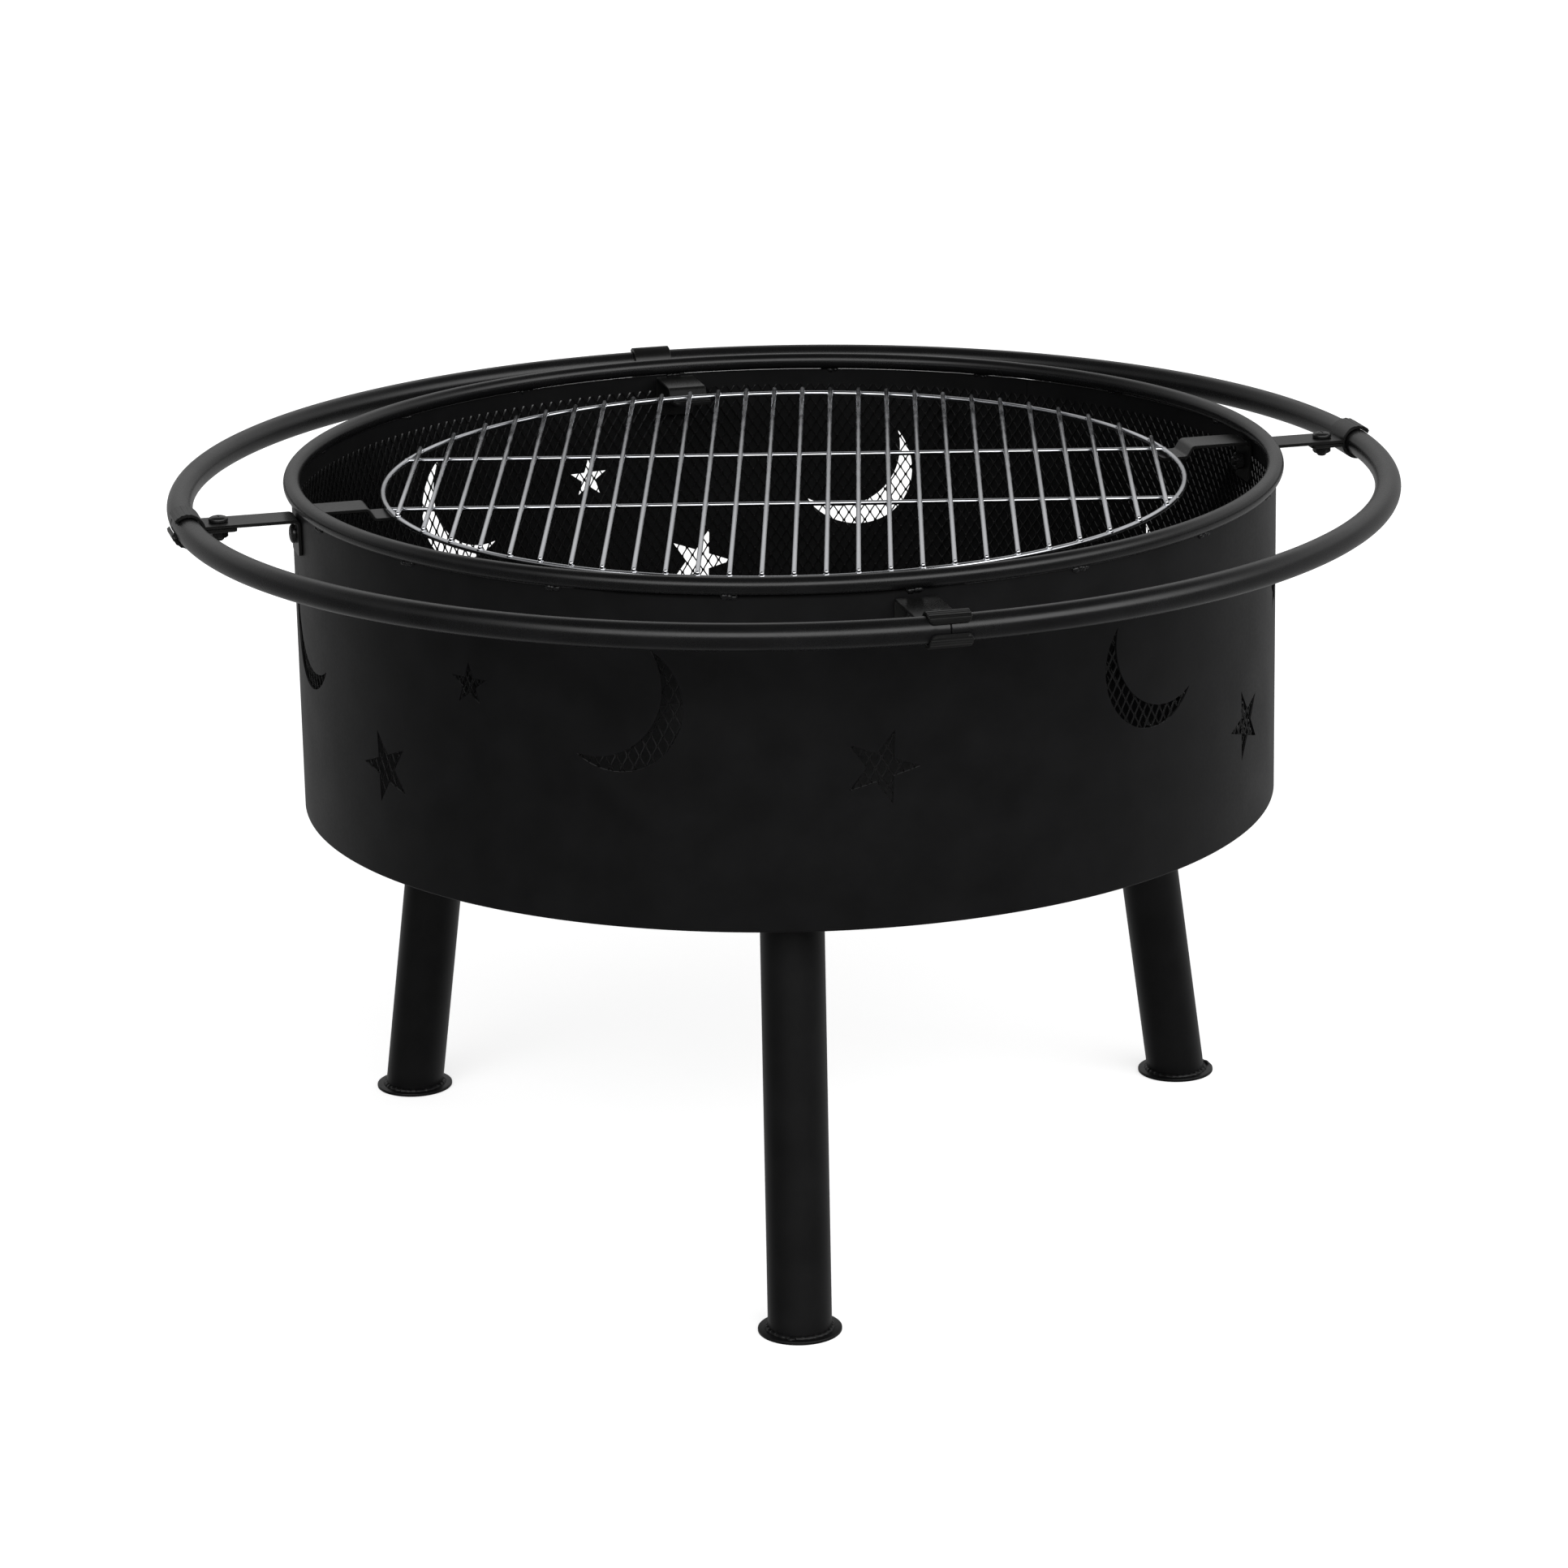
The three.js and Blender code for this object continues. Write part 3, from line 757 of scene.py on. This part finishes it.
def bolt_shape(length, head_r):
    """A pan-head bolt along +Z, head underside at 0, with a threaded end and a cross recess in the head."""
    stations = [(-length, BOLT_R - 0.9), (-length + 0.5, BOLT_R - 0.4)]
    z = -length + 0.5
    while z < -length + THREAD_LENGTH:
        stations += [(z + 0.25, BOLT_R), (z + 0.5, BOLT_R), (z + 0.75, BOLT_R - 0.5), (z + 1, BOLT_R - 0.5)]
        z += THREAD_PITCH
    stations += [(z + 0.2, BOLT_R), (0, BOLT_R), (0.0, head_r - 0.3), (0.25, head_r)]
    dome = 8
    for i in range(dome + 1):
        a = math.pi / 2 * i / dome
        stations.append((
            HEAD_HEIGHT * 0.35 + HEAD_HEIGHT * 0.65 * math.sin(a),
            head_r * (0.35 + 0.65 * math.cos(a)),
        ))
    sides = 32
    shape = Shape()
    shape.skin([[(x, y, z) for x, y in circle(r, sides)] for z, r in stations])
    return recessed(shape)


def recessed(shape):
    """Cuts a cross recess into a bolt's head."""
    def block(wide, deep):
        cutter = Shape()
        corner_signs = ((-1, -1), (1, -1), (1, 1), (-1, 1))
        cutter.skin([
            [(x * wide * k, y * deep * k, z) for x, y in corner_signs]
            for z, k in ((HEAD_HEIGHT - 1.7, 0.45), (HEAD_HEIGHT + 1, 1.15))
        ])
        return cutter

    objects = []
    for part in (shape, block(2.6, 0.55), block(0.55, 2.6)):
        mesh = bpy.data.meshes.new("recess_work")
        mesh.from_pydata(np.vstack(part.points).tolist(), [], part.faces)
        face_outwards(mesh)
        objects.append(bpy.data.objects.new("recess_work", mesh))
        bpy.context.scene.collection.objects.link(objects[-1])
    for cutter in objects[1:]:
        modifier = objects[0].modifiers.new("cut", "BOOLEAN")
        modifier.operation = "DIFFERENCE"
        modifier.object = cutter
        modifier.solver = "EXACT"
    cut = objects[0].evaluated_get(bpy.context.evaluated_depsgraph_get()).to_mesh()
    result = Shape()
    result.add([tuple(v.co) for v in cut.vertices], [tuple(p.vertices) for p in cut.polygons])
    for work_object in objects:
        mesh = work_object.data
        bpy.data.objects.remove(work_object)
        bpy.data.meshes.remove(mesh)
    return result


def nut_shape():
    """A hexagon nut along +Z from z = 0: corners chamfered at both ends, and a bore with a countersink."""
    sides = 48
    apothem = NUT_R * math.cos(math.pi / 6)

    def ring(z, cone):
        points = []
        for i in range(sides):
            a = 2 * math.pi * i / sides
            from_flat = a % (math.pi / 3) - math.pi / 6
            r = min(apothem / math.cos(from_flat), cone)
            points.append((r * math.cos(a), r * math.sin(a), z))
        return points

    def bore(z, r):
        return [(x, y, z) for x, y in circle(r, sides)]

    outside = ((0, apothem * 0.96), (0.3, apothem * 1.04), (0.75, NUT_R + 1))
    inside_bore = ((0, BOLT_R + 0.5), (0.5, BOLT_R + 0.12))
    rings = [ring(z, cone) for z, cone in outside]
    rings += [ring(NUT_HEIGHT - z, cone) for z, cone in outside[::-1]]
    rings += [bore(NUT_HEIGHT - z, r) for z, r in inside_bore]
    rings += [bore(z, r) for z, r in inside_bore[::-1]]
    shape = Shape()
    shape.skin(rings, loop=True)
    return shape


bolt_cache = {}
nut = nut_shape()


def bolt_for(length):
    """One bolt shape for each length. Their heads are alike."""
    key = round(length, 2)
    if key not in bolt_cache:
        low, high = box("leg_bolt_front_1", LEGS["front"])
        bolt_cache[key] = bolt_shape(length, (high[1] - low[1]) / 2)
    return bolt_cache[key]


UPRIGHT = Matrix.Identity(4)
OUTWARDS = Matrix.Rotation(math.pi / 2, 4, "Y")


def add_fastener(node, turn, shape, place, lay=UPRIGHT):
    """A fine bolt or nut instead of a CAD one: laid, put in its place, and turned round the drum."""
    spin = Matrix.Rotation(math.radians(turn), 4, "Z")
    fine = shape.moved(spin @ (Matrix.Translation(place) @ lay))
    make_piece(f"{node}_fine", fine, hardware, [node])


# ---------------------------------------------------------------- brackets

JAW_CLEARANCE = 0.6
JAW_LINE = RAIL_TUBE_R + JAW_CLEARANCE + STRIP / 2   # middle line of the strip round the tube
JAW_ROUND_TO, JAW_CREASED_FROM = 112, 104  # degrees above level, from the outer side of the tube
JAW_END = 35                               # where the upper jaw ends
STRAP_ROUND_TO, STRAP_CREASED_FROM = 272, 280
STRAP_END = -9                             # where the clamp strap ends, below level
CREASE_STEP = 16                           # degrees from one pressed ridge to the next
FACE_GAP = 0.3                             # that CAD leaves between pieces that touch
SEAT_STEP_R = (263, 259)                   # where a grate support steps down


def creased(centre, start, end):
    """Part of a jaw pressed in steps: flats with a small rounded ridge between each two."""
    count = max(1, round(abs(end - start) / CREASE_STEP))
    step = (end - start) / count
    line = []
    for i in range(count + 1):
        for offset, lift in ((-0.16, -0.12), (-0.06, 0.1), (0.06, 0.1), (0.16, -0.12)):
            at = start + step * (i + offset)
            if min(start, end) <= at <= max(start, end):
                line += arc(JAW_LINE + lift, centre, at, at)[:1]
    return line


def arm_shape(name):
    """Tab on the wall, level arm, and the upper jaw: round next to the arm, then pressed in steps."""
    low, _ = box(f"handrail_arm_{name}", BRACKETS[name])
    tab_line = low[0] + STRIP / 2
    arm_z = RAIL_Z + STRIP / 2
    centre = (RAIL_R, RAIL_Z)
    meets = 180 - math.degrees(math.asin((arm_z - RAIL_Z) / JAW_LINE))
    jaw = arc(JAW_LINE, centre, meets, JAW_ROUND_TO, 8) + creased(centre, JAW_CREASED_FROM, JAW_END)
    return strip_shape([(tab_line, low[2]), (tab_line, arm_z), *jaw], STRIP_WIDTH)


def strap_shape(name):
    """The lower clamp: flat under the arm, then curled under the tube and up its outer side in steps."""
    low, _ = box(f"clamp_strap_{name}", BRACKETS[name])
    strap_z = RAIL_Z - FACE_GAP - STRIP / 2
    centre = (RAIL_R, RAIL_Z)
    meets = 180 - math.degrees(math.asin((strap_z - RAIL_Z) / JAW_LINE))
    curl = arc(JAW_LINE, centre, meets, STRAP_ROUND_TO, 8)
    curl += creased(centre, STRAP_CREASED_FROM, 360 + STRAP_END)
    return strip_shape([(low[0], strap_z), *curl], STRIP_WIDTH)


def support_shape(name):
    """The grate's support: tab inside the wall, level strip, a step down and the lip under the grate."""
    low, high = box(f"grate_support_{name}", BRACKETS[name])
    tab_line = high[0] - STRIP / 2
    level = high[2] - STRIP / 2
    lip = box("cooking_grate")[0][2] - FACE_GAP - STRIP / 2
    step = [(SEAT_STEP_R[0], level), (SEAT_STEP_R[1], lip)]
    return strip_shape([(tab_line, low[2]), (tab_line, level), *step, (low[0], lip)], STRIP_WIDTH)


for name, turn in BRACKETS.items():
    for node, make in (
        (f"handrail_arm_{name}", arm_shape),
        (f"clamp_strap_{name}", strap_shape),
        (f"grate_support_{name}", support_shape),
    ):
        shape = turned_shape(make(name), turn)
        make_piece(f"{node}_strip", shape, bracket_paint, [node], sharp=13)

    low, high = box(f"wall_bolt_{name}", turn)
    _, side, z = (low + high) / 2
    under_head = high[0] - HEAD_HEIGHT
    add_fastener(f"wall_bolt_{name}", turn, bolt_for(under_head - low[0]), (under_head, side, z), OUTWARDS)
    nut_face = box(f"wall_nut_{name}", turn)[0][0]
    add_fastener(f"wall_nut_{name}", turn, nut, (nut_face, 0, z), OUTWARDS)

    low, high = box(f"clamp_bolt_{name}", turn)
    out = (low[0] + high[0]) / 2
    under_head = high[2] - HEAD_HEIGHT
    add_fastener(f"clamp_bolt_{name}", turn, bolt_for(under_head - low[2]), (out, 0, under_head))
    nut_face = box(f"clamp_nut_{name}", turn)[0][2]
    tightened = Matrix.Rotation(0.3 + turn, 4, "Z")          # each nut stops at a spin of its own
    add_fastener(f"clamp_nut_{name}", turn, nut, (out, 0, nut_face), tightened)


# ---------------------------------------------------------------- legs

LEG_WALL = 1.5
WELD_SIZE = 1.7
WELD_PROFILE = ((-0.6, 0), (-0.6, 1), (0.1, 1.0), (0.62, 0.72), (0.95, 0.3), (1.05, 0))


def leg_shape(name, turn):
    """A splayed tube cut level at both ends, with a weld bead at each end."""
    low, high = box(f"leg_tube_{name}", turn)
    outer = (high[1] - low[1]) / 2
    inner = outer - LEG_WALL
    top_x, foot_x = low[0] + outer, high[0] - outer
    sides = 64
    levels = np.linspace(0, 1, 9)

    def ring(share, radius):
        x = foot_x + (top_x - foot_x) * share
        z = low[2] + (high[2] - low[2]) * share
        return [(x + px, py, z) for px, py in circle(radius, sides)]

    shape = Shape()
    rings = [ring(s, outer) for s in levels] + [ring(s, inner) for s in levels[::-1]]
    shape.skin(rings, loop=True)
    rng = random.Random(11 + len(name))
    for x, z, up in ((foot_x, low[2], 1), (top_x, high[2], -1)):
        add_weld_ring(shape, x, z, outer, up, rng)
    return turned_shape(shape, turn)


def add_weld_ring(shape, x, z, radius, up, rng):
    """A fillet weld round a tube's end: overlapping ripples of metal between tube and plate."""
    steps = 96
    rings = []
    for i in range(steps):
        a = 2 * math.pi * i / steps
        ripple = 1 + 0.16 * math.sin(a * 30) + rng.uniform(-0.08, 0.08)
        size = WELD_SIZE * ripple
        ring = []
        for out, rise in WELD_PROFILE:
            r = radius + out * size
            ring.append((x + r * math.cos(a), r * math.sin(a), z + up * rise * size - up * FACE_GAP))
        rings.append(ring)
    shape.skin(rings, loop=True)


def foot_shape(name, turn):
    """A thin round foot with softened edges and a tack of weld metal at its outer side."""
    low, high = box(f"foot_disc_{name}", turn)
    radius, thick = (high[1] - low[1]) / 2, high[2] - low[2]
    x = (low[0] + high[0]) / 2
    soft = 0.5
    sides = 72
    stations = [(soft + soft * z, radius - soft + soft * r) for r, z in arc(1, (0, 0), -90, 0, 30)]
    stations += [(thick - soft + soft * z, radius - soft + soft * r) for r, z in arc(1, (0, 0), 0, 90, 30)]
    shape = Shape()
    shape.skin([[(x + px, py, z) for px, py in circle(r, sides)] for z, r in stations])
    rng = random.Random(5 + len(name))
    tack = (x + 21.5, -5, thick + 0.6)
    shape.blob(tack, (1.6, 2.6, 1.4), 0, rng)
    return turned_shape(shape, turn)


def plate_shape(name, turn):
    """The leg's top plate, with round corners."""
    low, high = box(f"leg_plate_{name}", turn)
    radius, soft = 6, 0.4
    outline = []
    for cx, cy, start in (
        (high[0] - radius, high[1] - radius, 0), (low[0] + radius, high[1] - radius, 90),
        (low[0] + radius, low[1] + radius, 180), (high[0] - radius, low[1] + radius, 270),
    ):
        outline += arc(radius, (cx, cy), start, start + 90, 10)
    outline = np.array(outline)
    middle = ((low + high) / 2)[:2]

    def level(z, inset):
        scale = 1 - 2 * inset / (high - low)[:2]
        return [(x, y, z) for x, y in middle + (outline - middle) * scale]

    shape = Shape()
    insets = ((low[2], soft), (low[2] + soft, 0), (high[2] - soft, 0), (high[2], soft))
    shape.skin([level(z, inset) for z, inset in insets])
    return turned_shape(shape, turn)


for name, turn in LEGS.items():
    for node, make, ending in (
        (f"leg_tube_{name}", leg_shape, "welded"),
        (f"foot_disc_{name}", foot_shape, "fine"),
        (f"leg_plate_{name}", plate_shape, "fine"),
    ):
        make_piece(f"{node}_{ending}", make(name, turn), leg_paint, [node])
    for k in (1, 2):
        low, high = box(f"leg_bolt_{name}_{k}", turn)
        out, side, _ = (low + high) / 2
        under_head = high[2] - HEAD_HEIGHT
        add_fastener(f"leg_bolt_{name}_{k}", turn, bolt_for(under_head - low[2]), (out, side, under_head))
        nut_face = box(f"leg_nut_{name}_{k}", turn)[0][2]
        tightened = Matrix.Rotation(0.4 * k, 4, "Z")
        add_fastener(f"leg_nut_{name}_{k}", turn, nut, (out, side, nut_face), tightened)


# ---------------------------------------------------------------- cooking grate

GRATE_RODS = 26
GRATE_PITCH = 18.6
GRATE_BAR_Y = 66
GRATE_TURN = -1                            # degrees round the axis, as it happens to lie
GRATE_WIRE_R = 1.75                        # the outer wire
GRATE_ROD_R = 1.5                          # rods and cross bars
WELD_BITE = 0.4                            # how far the rods are pressed into what they cross


def grate_shape():
    """Outer wire, two bars and the parallel rods on top of them, with rounded rod ends and weld nuggets."""
    low, high = box("cooking_grate", GRATE_TURN)
    ring_r = (high[0] - low[0]) / 2 - GRATE_WIRE_R
    ring_z = low[2] + GRATE_WIRE_R
    bar_z = ring_z + GRATE_WIRE_R - GRATE_ROD_R
    rod_z = ring_z + GRATE_WIRE_R + GRATE_ROD_R - WELD_BITE
    shape = Shape()
    wire = [(ring_r + x, 0, ring_z + z) for x, z in circle(GRATE_WIRE_R, 14)]
    shape.skin([turned(wire, a) for a in np.linspace(0, 360, 240, endpoint=False)], loop=True)
    section = circle(GRATE_ROD_R, 12)
    rng = random.Random(19)
    bar_end = math.sqrt(ring_r ** 2 - GRATE_BAR_Y ** 2)
    for y in (-GRATE_BAR_Y, GRATE_BAR_Y):
        shape.skin([
            [(x, y + a * k, bar_z + b * k) for a, b in section]
            for x, k in ((-bar_end, 0.8), (-bar_end + 0.5, 1), (bar_end - 0.5, 1), (bar_end, 0.8))
        ])
        for side in (-1, 1):
            shape.blob((side * bar_end, y, bar_z), (2.2, 2.0, 1.6), 0, rng, 0.06)
    for i in range(GRATE_RODS):
        x = (i - (GRATE_RODS - 1) / 2) * GRATE_PITCH
        end = math.sqrt((ring_r + GRATE_WIRE_R / 2) ** 2 - x ** 2)
        dome = [(end - 0.9 + 1.2 * math.sin(a), math.cos(a)) for a in np.radians([0, 25, 50, 75])]
        stations = [(-y, k) for y, k in reversed(dome)] + dome
        shape.skin([[(x + a * k, y, rod_z + b * k) for a, b in section] for y, k in stations])
        for y in (-GRATE_BAR_Y, GRATE_BAR_Y):
            if abs(y) < end - 3:
                shape.blob((x, y, rod_z - GRATE_ROD_R + 0.1), (1.9, 1.9, 0.9), 0, rng, 0.08, 8, 5)
        for side in (-1, 1):
            shape.blob((x, side * (end - 1.2), rod_z - GRATE_ROD_R), (2.2, 1.6, 1.2), 0, rng, 0.06, 10, 6)
    return turned_shape(shape, GRATE_TURN)


make_piece(
    "cooking_grate_wires", grate_shape(), chrome, ["cooking_grate"], body=GRATE, sharp=50,
)


# ---------------------------------------------------------------- floor, light and camera

def add_floor():
    """A white floor that the part's shadow falls on. Nothing glossy mirrors it."""
    work = bmesh.new()
    bmesh.ops.create_circle(work, cap_ends=True, segments=96, radius=14)
    mesh = bpy.data.meshes.new("studio_floor")
    work.to_mesh(mesh)
    work.free()
    material = bpy.data.materials.new("studio_floor")
    material.use_nodes = True
    shader = material.node_tree.nodes["Principled BSDF"]
    shader.inputs["Base Color"].default_value = (0.86, 0.86, 0.86, 1)
    shader.inputs["Roughness"].default_value = 1
    shader.inputs["Specular IOR Level"].default_value = 0
    shader.inputs["Emission Color"].default_value = (1, 1, 1, 1)
    shader.inputs["Emission Strength"].default_value = 0.69
    mesh.materials.append(material)
    floor = bpy.data.objects.new("studio_floor", mesh)
    floor.location.z = cad_box[0].z - 0.0002
    floor.visible_glossy = False
    bpy.context.scene.collection.objects.link(floor)


def add_studio():
    """White surroundings for the eye.

    What lights the part is a dim room, lighter behind, and a long softbox in front.
    """
    world = bpy.data.worlds.new("studio")
    bpy.context.scene.world = world
    world.use_nodes = True
    nodes, links = world.node_tree.nodes, world.node_tree.links
    background = nodes["Background"]
    way = nodes.new("ShaderNodeSeparateXYZ")
    links.new(nodes.new("ShaderNodeTexCoord").outputs["Generated"], way.inputs["Vector"])

    def ramp(value, start, end, low, high):
        ranged = nodes.new("ShaderNodeMapRange")
        ranged.interpolation_type = "SMOOTHSTEP"
        for socket, number in zip(("From Min", "From Max", "To Min", "To Max"), (start, end, low, high)):
            ranged.inputs[socket].default_value = number
        links.new(value, ranged.inputs["Value"])
        return ranged.outputs["Result"]

    def combine(operation, a, b):
        node = nodes.new("ShaderNodeMath")
        node.operation = operation
        links.new(a, node.inputs[0])
        links.new(b, node.inputs[1])
        return node.outputs["Value"]

    leaning = nodes.new("ShaderNodeMath")
    leaning.operation = "MULTIPLY_ADD"
    links.new(way.outputs["X"], leaning.inputs[0])
    leaning.inputs[1].default_value = 0.2
    links.new(way.outputs["Y"], leaning.inputs[2])
    room = ramp(leaning.outputs["Value"], -0.45, 0.7, 0.04, 0.34)
    high_wall = ramp(way.outputs["Z"], 0.2, 0.4, 1, 1.7)
    ceiling = combine("MULTIPLY", high_wall, ramp(way.outputs["Z"], 0.5, 0.8, 1, 0.12))
    rising = ramp(way.outputs["Z"], 0.20, 0.38, 0, 1)
    falling = ramp(way.outputs["Z"], 0.62, 0.82, 1, 0)
    across = ramp(way.outputs["X"], -0.78, -0.38, 0.1, 1)
    softbox = combine("MULTIPLY", combine("MULTIPLY", rising, falling), across)
    facing = ramp(way.outputs["Y"], -0.5, 0.3, 3.0, 0.1)
    light = combine("ADD", combine("MULTIPLY", room, ceiling), combine("MULTIPLY", softbox, facing))
    seen = nodes.new("ShaderNodeLightPath").outputs["Is Camera Ray"]
    links.new(combine("MAXIMUM", light, seen), background.inputs["Strength"])
    background.inputs["Color"].default_value = (1, 1, 1, 1)


def add_camera():
    """The main view: from in front and above, with a long lens and a slight roll."""
    height, distance, pitch, roll = 1.2057, 3.21746, 16.559, 1.108
    data = bpy.data.cameras.new("camera")
    data.lens = 122.08
    data.sensor_width = 36
    data.shift_x = -0.0035
    camera = bpy.data.objects.new("camera", data)
    tip = Matrix.Rotation(math.radians(90 - pitch), 4, "X") @ Matrix.Rotation(math.radians(-roll), 4, "Z")
    camera.matrix_world = Matrix.Translation((0, -distance, height)) @ tip
    bpy.context.scene.collection.objects.link(camera)
    bpy.context.scene.camera = camera
    bpy.context.scene.view_settings.view_transform = "Standard"


add_floor()
add_studio()
add_camera()
